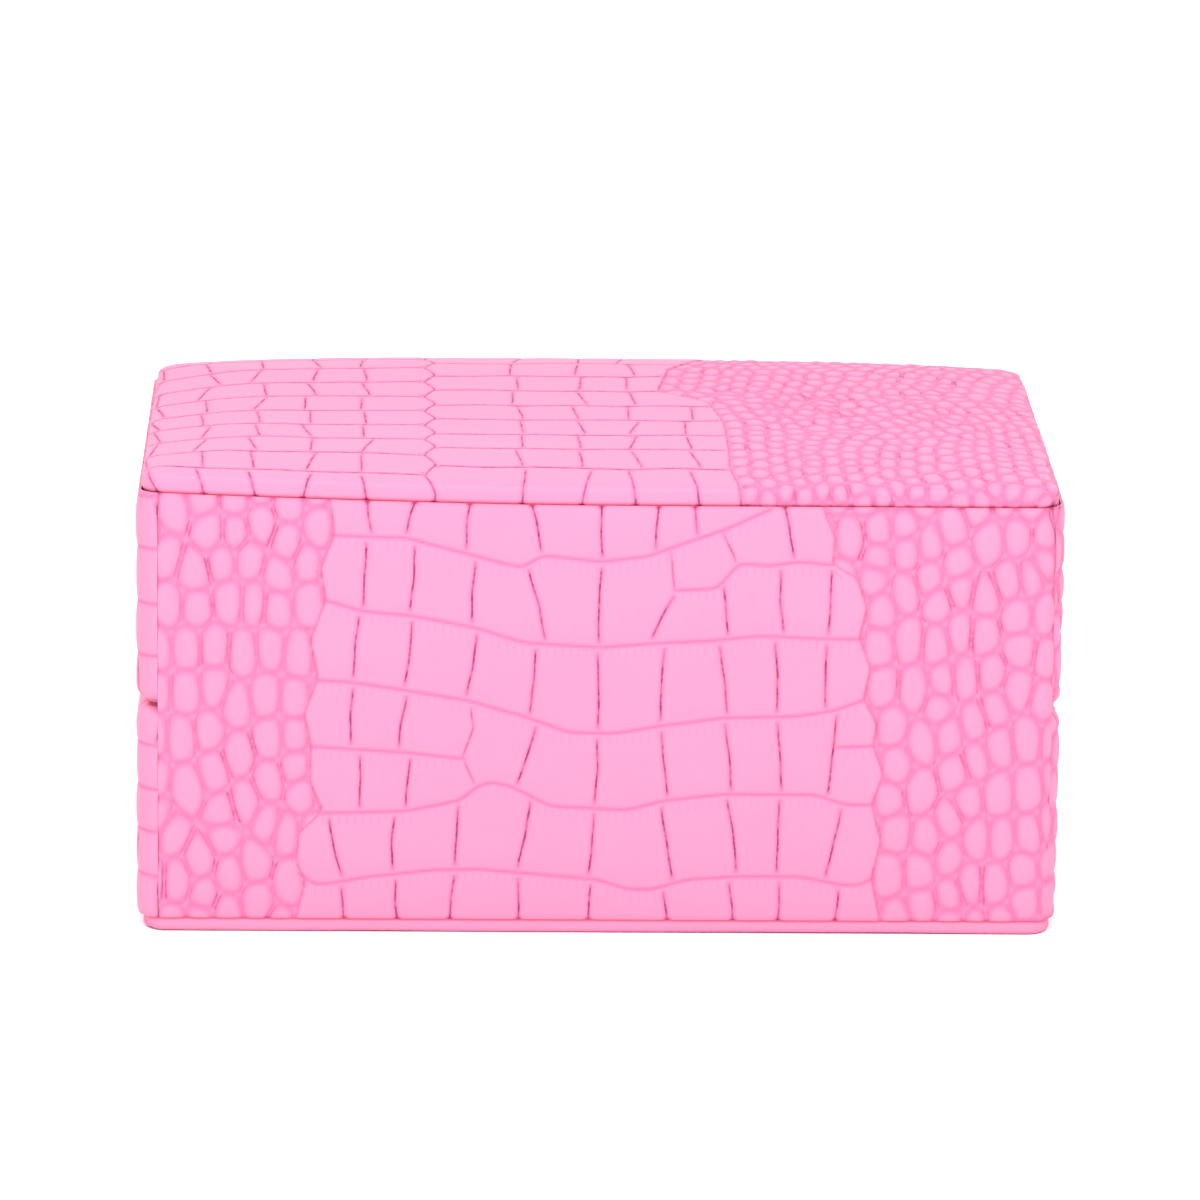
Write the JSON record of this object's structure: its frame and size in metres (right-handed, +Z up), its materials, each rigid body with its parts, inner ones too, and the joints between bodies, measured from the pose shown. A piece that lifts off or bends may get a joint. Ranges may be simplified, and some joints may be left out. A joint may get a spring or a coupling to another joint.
{
  "type": "leather jewellery case",
  "caption": "Oblong jewellery case covered in crocodile-embossed leather, with a hinged mirror lid, push-button lock, lift-out ring tray and compartments below.",
  "frame": {"origin": "centre of the flat underside of the bottom cover, at table level", "axes": "+Z up through the lid, -Y towards the front with the lock, +Y towards the leather hinge, +X to the right of someone who faces the lock"},
  "size_m": [0.1986, 0.1339, 0.1016],
  "materials": {
    "embossed_leather": "semi-gloss pink coating over a crocodile-pattern emboss",
    "fibreboard": "raw medium-density fibreboard, hidden",
    "velvet": "short matt pile, blush pink",
    "gold_plated_steel": "polished pale gold plating",
    "spring_steel": "plain satin steel",
    "mirror": "silvered flat glass",
    "ribbon": "ribbed satin ribbon",
    "foam": "upholstery foam, hidden"
  },
  "bodies": {
    "base": {"bottom_leather": "embossed_leather", "bottom_board": "fibreboard", "base_side_leather": "embossed_leather", "back_leather_lower": "embossed_leather", "back_leather_fold": "embossed_leather", "hinge_tape_lower": "embossed_leather", "base_frame_back": "fibreboard", "base_frame_front": "fibreboard", "base_frame_left": "fibreboard", "base_frame_right": "fibreboard", "base_lining": "velvet", "base_floor_pad": "velvet", "tray_ledge_back": "velvet", "tray_ledge_front": "velvet", "tray_ledge_left": "velvet", "tray_ledge_right": "velvet", "lower_divider_left": "velvet", "lower_divider_right": "velvet", "lock_back_plate": "gold_plated_steel", "lock_case": "gold_plated_steel", "lock_rivet_left": "gold_plated_steel", "lock_rivet_right": "gold_plated_steel", "button_spring": "spring_steel"},
    "lid": {"top_leather": "embossed_leather", "top_foam": "foam", "top_board": "fibreboard", "lid_side_leather": "embossed_leather", "back_leather_upper": "embossed_leather", "hinge_tape_upper": "embossed_leather", "lid_frame_back": "fibreboard", "lid_frame_front": "fibreboard", "lid_frame_left": "fibreboard", "lid_frame_right": "fibreboard", "lid_lining": "velvet", "lid_inner_panel": "velvet", "mirror_glass": "mirror", "mirror_bezel": "velvet", "strike_plate": "gold_plated_steel", "strike_rivet_left": "gold_plated_steel", "strike_rivet_right": "gold_plated_steel"},
    "tray": {"tray_floor": "velvet", "tray_back": "velvet", "tray_front": "velvet", "tray_left": "velvet", "tray_right": "velvet", "tray_divider_main": "velvet", "tray_divider_cross": "velvet", "tray_divider_small": "velvet", "tray_tab_left": "ribbon", "tray_tab_right": "ribbon", "ring_roll_1": "velvet", "ring_roll_2": "velvet", "ring_roll_3": "velvet", "ring_roll_4": "velvet", "ring_roll_5": "velvet", "ring_roll_6": "velvet", "ring_roll_7": "velvet"},
    "button": {"push_button": "gold_plated_steel", "latch_plate": "spring_steel"}
  },
  "joints": [
    {"name": "lid_hinge", "type": "hinge", "parent": "base", "child": "lid", "pos_m": [0, 0.062, 0.05], "axis": [-1, 0, 0], "range_deg": [0, 100]},
    {"name": "tray_lift", "type": "slide", "parent": "base", "child": "tray", "axis": [0, 0, 1], "range_m": [0, 0.038]},
    {"name": "button_push", "type": "slide", "parent": "base", "child": "button", "axis": [0, 1, 0], "range_m": [0, 0.0015], "stiffness_N_per_m": 800, "springref_m": -0.001, "deforming": ["button_spring"]}
  ]
}
